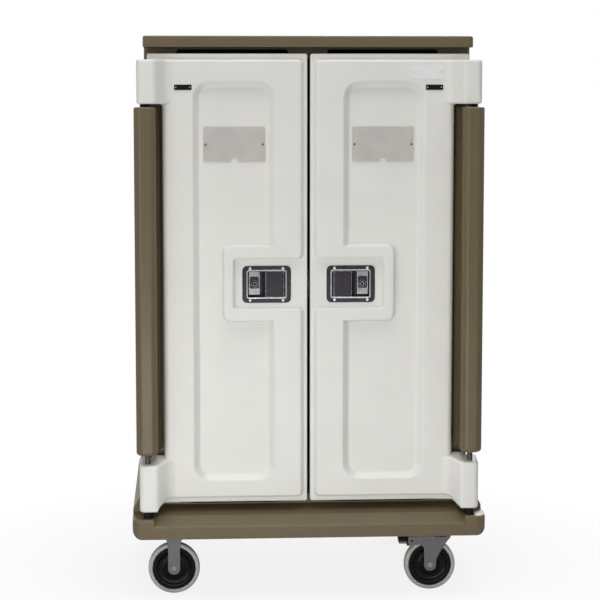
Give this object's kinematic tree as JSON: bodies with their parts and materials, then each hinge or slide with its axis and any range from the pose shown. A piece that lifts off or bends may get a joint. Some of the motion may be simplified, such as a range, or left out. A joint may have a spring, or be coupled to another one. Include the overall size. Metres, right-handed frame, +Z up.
{
  "type": "meal delivery cart",
  "caption": "Tall insulated cart with side-by-side hinged doors, paddle latches, grip bars along the hinge posts and casters, for carrying trays of meals.",
  "frame": {"origin": "on the floor, under the middle of the base", "axes": "+Z up, -Y towards the person who opens the doors, +X to that person's right; the casters roll along X"},
  "size_m": [1.038, 0.84, 1.6437],
  "materials": {
    "taupe_shell": "fine-grained roto-moulded polyethylene",
    "white_shell": "fine-grained roto-moulded polyethylene",
    "liner": "smooth moulded polyethylene",
    "foam": "rigid polyurethane foam",
    "stainless": "brushed stainless steel",
    "zinc": "zinc-plated pressed steel",
    "black_chrome": "dark polished plating",
    "black_plastic": "black polyamide",
    "seal": "extruded soft seal",
    "tyre": "light grey non-marking tread",
    "clear": "clear moulded plastic"
  },
  "bodies": {
    "cart": {"axle_rigid_front": "zinc", "axle_rigid_rear": "zinc", "base_deck": "taupe_shell", "cabinet_shell": "taupe_shell", "door_magnet_left": "black_plastic", "door_magnet_right": "black_plastic", "fork_rigid_front": "zinc", "fork_rigid_rear": "zinc", "handle_post_left": "taupe_shell", "handle_post_right": "taupe_shell", "hinge_rod_left": "stainless", "hinge_rod_right": "stainless", "hinge_washer_left": "black_plastic", "hinge_washer_right": "black_plastic", "insulation_core": "foam", "latch_strike": "stainless", "liner_left": "liner", "liner_right": "liner", "swivel_plate_front": "zinc", "swivel_plate_rear": "zinc", "top_panel": "taupe_shell", "tray_rack_left_inner": "stainless", "tray_rack_left_outer": "stainless", "tray_rack_right_inner": "stainless", "tray_rack_right_outer": "stainless"},
    "door_left": {"door_shell_left": "white_shell", "door_inner_panel_left": "liner", "door_gasket_left": "seal", "hold_plate_left": "black_plastic", "card_holder_left": "clear", "latch_dish_left": "black_chrome", "paddle_pin_left": "stainless"},
    "paddle_left": {"latch_paddle_left": "black_chrome"},
    "bolt_left": {"latch_bolt_left": "stainless"},
    "lock_left": {"lock_cylinder_left": "stainless"},
    "door_right": {"door_shell_right": "white_shell", "door_inner_panel_right": "liner", "door_gasket_right": "seal", "hold_plate_right": "black_plastic", "card_holder_right": "clear", "latch_dish_right": "black_chrome", "paddle_pin_right": "stainless"},
    "paddle_right": {"latch_paddle_right": "black_chrome"},
    "bolt_right": {"latch_bolt_right": "stainless"},
    "lock_right": {"lock_cylinder_right": "stainless"},
    "rigid_wheel_front": {"hub_rigid_front": "black_plastic", "tyre_rigid_front": "tyre"},
    "swivel_wheel_front": {"hub_swivel_front": "black_plastic", "tyre_swivel_front": "tyre"},
    "swivel_front": {"fork_swivel_front": "zinc", "axle_swivel_front": "zinc"},
    "pedal_front": {"brake_pedal_front": "black_plastic"},
    "rigid_wheel_rear": {"hub_rigid_rear": "black_plastic", "tyre_rigid_rear": "tyre"},
    "swivel_wheel_rear": {"hub_swivel_rear": "black_plastic", "tyre_swivel_rear": "tyre"},
    "swivel_rear": {"fork_swivel_rear": "zinc", "axle_swivel_rear": "zinc"},
    "pedal_rear": {"brake_pedal_rear": "black_plastic"}
  },
  "joints": [
    {"name": "door_hinge_left", "type": "hinge", "parent": "cart", "child": "door_left", "pos_m": [-0.473, -0.386, 0.278], "axis": [0, 0, -1], "range_deg": [0, 270]},
    {"name": "paddle_hinge_left", "type": "hinge", "parent": "door_left", "child": "paddle_left", "pos_m": [-0.0716, -0.339, 0.923], "axis": [0, 0, 1], "range_deg": [0, 35], "stiffness_Nm_per_rad": 0.3, "springref_deg": -8.59},
    {"name": "bolt_slide_left", "type": "slide", "parent": "door_left", "child": "bolt_left", "axis": [-1, 0, 0], "range_m": [0, 0.01]},
    {"name": "lock_turn_left", "type": "hinge", "parent": "door_left", "child": "lock_left", "pos_m": [-0.1574, -0.3431, 0.923], "axis": [0, 1, 0], "range_deg": [0, 90]},
    {"name": "door_hinge_right", "type": "hinge", "parent": "cart", "child": "door_right", "pos_m": [0.473, -0.386, 0.278], "axis": [0, 0, 1], "range_deg": [0, 270]},
    {"name": "paddle_hinge_right", "type": "hinge", "parent": "door_right", "child": "paddle_right", "pos_m": [0.0716, -0.339, 0.923], "axis": [0, 0, -1], "range_deg": [0, 35], "stiffness_Nm_per_rad": 0.3, "springref_deg": -8.59},
    {"name": "bolt_slide_right", "type": "slide", "parent": "door_right", "child": "bolt_right", "axis": [1, 0, 0], "range_m": [0, 0.01]},
    {"name": "lock_turn_right", "type": "hinge", "parent": "door_right", "child": "lock_right", "pos_m": [0.1574, -0.3431, 0.923], "axis": [0, 1, 0], "range_deg": [0, 90]},
    {"name": "rigid_wheel_spin_front", "type": "hinge", "parent": "cart", "child": "rigid_wheel_front", "pos_m": [-0.3989, -0.317, 0.0762], "axis": [0, 1, 0], "continuous": true},
    {"name": "swivel_turn_front", "type": "hinge", "parent": "cart", "child": "swivel_front", "pos_m": [0.3944, -0.317, 0.1639], "axis": [0, 0, 1], "continuous": true},
    {"name": "swivel_wheel_spin_front", "type": "hinge", "parent": "swivel_front", "child": "swivel_wheel_front", "pos_m": [0.3644, -0.317, 0.0762], "axis": [0, 1, 0], "continuous": true},
    {"name": "brake_pedal_press_front", "type": "hinge", "parent": "swivel_front", "child": "pedal_front", "pos_m": [0.3094, -0.317, 0.1497], "axis": [0, -1, 0], "range_deg": [0, 15]},
    {"name": "rigid_wheel_spin_rear", "type": "hinge", "parent": "cart", "child": "rigid_wheel_rear", "pos_m": [-0.3989, 0.317, 0.0762], "axis": [0, 1, 0], "continuous": true},
    {"name": "swivel_turn_rear", "type": "hinge", "parent": "cart", "child": "swivel_rear", "pos_m": [0.3944, 0.317, 0.1639], "axis": [0, 0, 1], "continuous": true},
    {"name": "swivel_wheel_spin_rear", "type": "hinge", "parent": "swivel_rear", "child": "swivel_wheel_rear", "pos_m": [0.3644, 0.317, 0.0762], "axis": [0, 1, 0], "continuous": true},
    {"name": "brake_pedal_press_rear", "type": "hinge", "parent": "swivel_rear", "child": "pedal_rear", "pos_m": [0.3094, 0.317, 0.1497], "axis": [0, -1, 0], "range_deg": [0, 15]}
  ],
  "couplings": [
    {"joint": "bolt_slide_left", "follows": "paddle_hinge_left", "m_per_rad": 0.0163},
    {"joint": "bolt_slide_right", "follows": "paddle_hinge_right", "m_per_rad": 0.0163}
  ]
}
